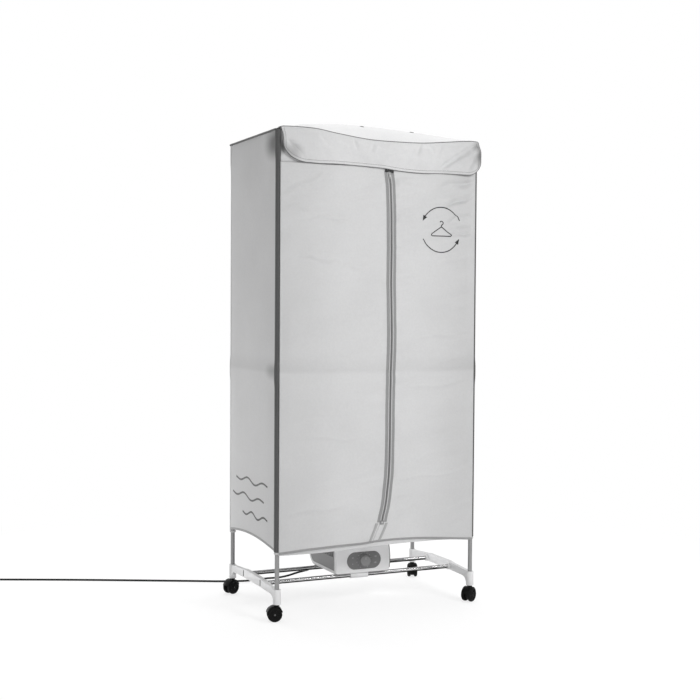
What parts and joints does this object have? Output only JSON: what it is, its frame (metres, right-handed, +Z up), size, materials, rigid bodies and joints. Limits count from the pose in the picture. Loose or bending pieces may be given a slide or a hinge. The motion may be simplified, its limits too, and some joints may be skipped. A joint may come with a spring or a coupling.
{
  "type": "portable clothes drying cabinet",
  "caption": "Portable clothes drying cabinet: a zipped fabric cover on a tube frame with swivel casters and a warm-air blower on two base rods.",
  "frame": {"origin": "on the floor, midway between the four posts", "axes": "+X to the cabinet's right as seen from the front, +Y from the zipped front to the back, +Z up"},
  "size_m": [1.5591, 1.0612, 1.556],
  "materials": {
    "tube_grey": "satin",
    "chrome_rod": "polished",
    "steel": "brushed",
    "connector_plastic": "fine texture",
    "bracket_plastic": "satin",
    "caster_black": "semi-gloss",
    "caster_wheel": "dull",
    "cover_cloth": "woven, slight sheen",
    "binding_cloth": "woven tape",
    "zip_tape": "woven tape",
    "zip_metal": "satin",
    "unit_plastic": "satin",
    "grille_plastic": "fine texture",
    "control_grey": "fine texture",
    "knob_grey": "satin",
    "dark_plastic": "moulded",
    "heater_alloy": "bright",
    "cord_black": "smooth",
    "tie_white": "smooth"
  },
  "bodies": {
    "cabinet": {"lower_posts": "tube_grey", "upper_posts": "tube_grey", "mid_connectors": "connector_plastic", "top_connectors": "connector_plastic", "end_bracket_left": "bracket_plastic", "end_bracket_right": "bracket_plastic", "base_rods": "chrome_rod", "rod_plugs": "connector_plastic", "mid_side_rails": "tube_grey", "mid_cross_rails": "tube_grey", "top_side_rails": "tube_grey", "hanging_rods": "chrome_rod", "hanging_rod_hooks": "connector_plastic", "cover_left": "cover_cloth", "cover_right": "cover_cloth", "cover_back": "cover_cloth", "cover_top": "cover_cloth", "front_surround": "cover_cloth", "cover_floor": "cover_cloth", "corner_bindings": "binding_cloth", "top_piping": "binding_cloth", "zip_top_bar": "binding_cloth", "unit_shell": "unit_plastic", "unit_front": "unit_plastic", "side_grilles": "grille_plastic", "outlet_grille": "grille_plastic", "control_plate": "control_grey", "timer": "dark_plastic", "fan_motor": "dark_plastic", "heater_frame": "steel", "heating_element": "heater_alloy", "rod_clips": "unit_plastic", "unit_screws": "steel", "cord_gland": "dark_plastic", "cord": "cord_black", "cord_coil": "cord_black", "cord_tie": "tie_white", "plug": "cord_black"},
    "left_door": {"door_left": "cover_cloth", "zip_tape_left": "zip_tape"},
    "right_door": {"door_right": "cover_cloth", "zip_tape_right": "zip_tape"},
    "slider": {"zip_slider": "zip_metal"},
    "pull": {"zip_pull": "zip_metal"},
    "flap": {"front_flap": "cover_cloth"},
    "knob": {"timer_knob": "knob_grey", "timer_shaft": "steel"},
    "fan": {"impeller": "unit_plastic"},
    "caster_fl": {"caster_housing_fl": "caster_black", "caster_axle_fl": "steel"},
    "wheels_fl": {"caster_wheels_fl": "caster_wheel"},
    "caster_fr": {"caster_housing_fr": "caster_black", "caster_axle_fr": "steel"},
    "wheels_fr": {"caster_wheels_fr": "caster_wheel"},
    "caster_bl": {"caster_housing_bl": "caster_black", "caster_axle_bl": "steel"},
    "wheels_bl": {"caster_wheels_bl": "caster_wheel"},
    "caster_br": {"caster_housing_br": "caster_black", "caster_axle_br": "steel"},
    "wheels_br": {"caster_wheels_br": "caster_wheel"}
  },
  "joints": [
    {"name": "left_door_swing", "type": "hinge", "parent": "cabinet", "child": "left_door", "pos_m": [-0.3393, -0.2166, 0.8], "axis": [0, 0, -1], "range_deg": [0, 160]},
    {"name": "right_door_swing", "type": "hinge", "parent": "cabinet", "child": "right_door", "pos_m": [0.3393, -0.2166, 0.8], "axis": [0, 0, 1], "range_deg": [0, 160]},
    {"name": "zip_slide", "type": "slide", "parent": "right_door", "child": "slider", "axis": [-0.0045, 0, -1], "range_m": [0, 1.086]},
    {"name": "pull_swing", "type": "hinge", "parent": "slider", "child": "pull", "pos_m": [0.02696, -0.2225, 1.382], "axis": [-1, 0, 0], "range_deg": [0, 150]},
    {"name": "flap_lift", "type": "hinge", "parent": "cabinet", "child": "flap", "pos_m": [0, -0.2159, 1.5], "axis": [-1, 0, 0], "range_deg": [0, 120]},
    {"name": "knob_turn", "type": "hinge", "parent": "cabinet", "child": "knob", "pos_m": [0.008, -0.1, 0.139], "axis": [0, 1, 0], "range_deg": [0, 300]},
    {"name": "fan_spin", "type": "hinge", "parent": "cabinet", "child": "fan", "pos_m": [0.003, 0.0225, 0.14], "axis": [0, 0, 1], "continuous": true},
    {"name": "swivel_fl", "type": "hinge", "parent": "cabinet", "child": "caster_fl", "pos_m": [-0.34, -0.204, 0.06], "axis": [0, 0, 1], "continuous": true},
    {"name": "roll_fl", "type": "hinge", "parent": "caster_fl", "child": "wheels_fl", "pos_m": [-0.34676, -0.20219, 0.023], "axis": [-0.2588, -0.9659, 0], "continuous": true},
    {"name": "swivel_fr", "type": "hinge", "parent": "cabinet", "child": "caster_fr", "pos_m": [0.34, -0.204, 0.06], "axis": [0, 0, 1], "continuous": true},
    {"name": "roll_fr", "type": "hinge", "parent": "caster_fr", "child": "wheels_fr", "pos_m": [0.33394, -0.2075, 0.023], "axis": [0.5, -0.866, 0], "continuous": true},
    {"name": "swivel_bl", "type": "hinge", "parent": "cabinet", "child": "caster_bl", "pos_m": [-0.34, 0.204, 0.06], "axis": [0, 0, 1], "continuous": true},
    {"name": "roll_bl", "type": "hinge", "parent": "caster_bl", "child": "wheels_bl", "pos_m": [-0.34634, 0.20104, 0.023], "axis": [0.4226, -0.9063, 0], "continuous": true},
    {"name": "swivel_br", "type": "hinge", "parent": "cabinet", "child": "caster_br", "pos_m": [0.34, 0.204, 0.06], "axis": [0, 0, 1], "continuous": true},
    {"name": "roll_br", "type": "hinge", "parent": "caster_br", "child": "wheels_br", "pos_m": [0.33704, 0.19766, 0.023], "axis": [0.9063, -0.4226, 0], "continuous": true}
  ]
}
